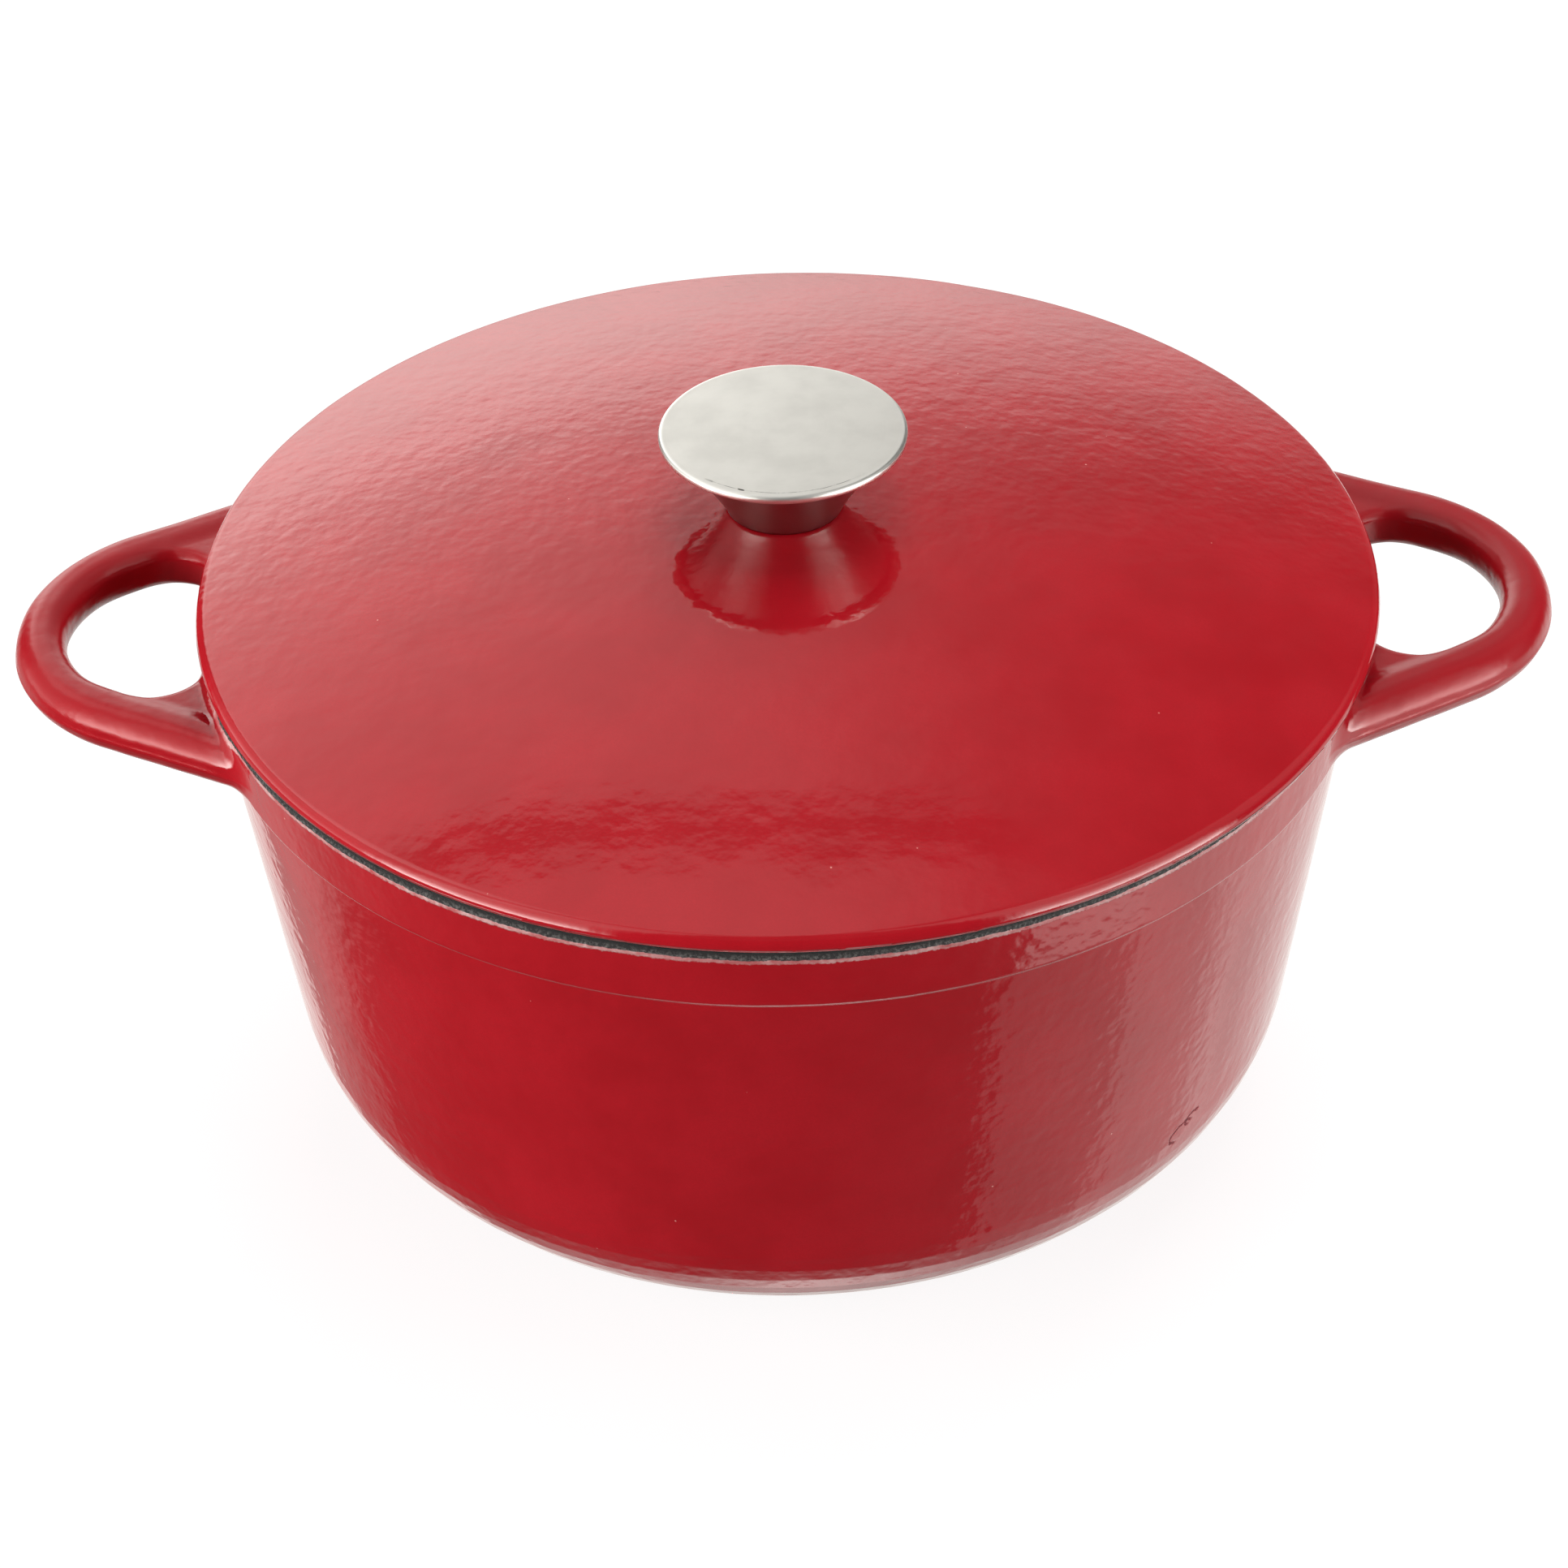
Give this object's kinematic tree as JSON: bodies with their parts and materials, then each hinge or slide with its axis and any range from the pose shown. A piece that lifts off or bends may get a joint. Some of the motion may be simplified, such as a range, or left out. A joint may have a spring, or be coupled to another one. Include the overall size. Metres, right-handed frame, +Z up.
{
  "type": "dutch oven",
  "caption": "Round enamelled cast iron pot with loop handles on two sides, and a domed lid with a flared steel knob that lifts off.",
  "frame": {"origin": "on the surface that the pot stands on, at the pot's axis", "axes": "+Z up along the pot's axis, +X towards one handle, so the handles point along +X and -X"},
  "size_m": [0.3566, 0.2724, 0.1748],
  "materials": {
    "pot_enamel": "glossy red vitreous enamel over cast iron, bare black rim",
    "lid_enamel": "glossy red vitreous enamel over cast iron, bare black edge underneath",
    "knob_steel": "satin stainless steel",
    "knob_core": "plain machined steel",
    "fastener_steel": "bright zinc plated"
  },
  "bodies": {
    "pot": {"pot": "pot_enamel"},
    "lid_carrier": {"flat_washer": "fastener_steel"},
    "lid": {"lid": "lid_enamel", "knob_cap": "knob_steel", "knob_stem": "knob_steel", "knob_insert": "knob_core", "knob_screw": "fastener_steel", "lock_washer": "fastener_steel"}
  },
  "joints": [
    {"name": "lid_lift", "type": "slide", "parent": "pot", "child": "lid_carrier", "axis": [0, 0, 1], "range_m": [0, 0.15]},
    {"name": "lid_turn", "type": "hinge", "parent": "lid_carrier", "child": "lid", "pos_m": [0.0009, 0, 0.1464], "axis": [0, 0, 1], "continuous": true}
  ]
}
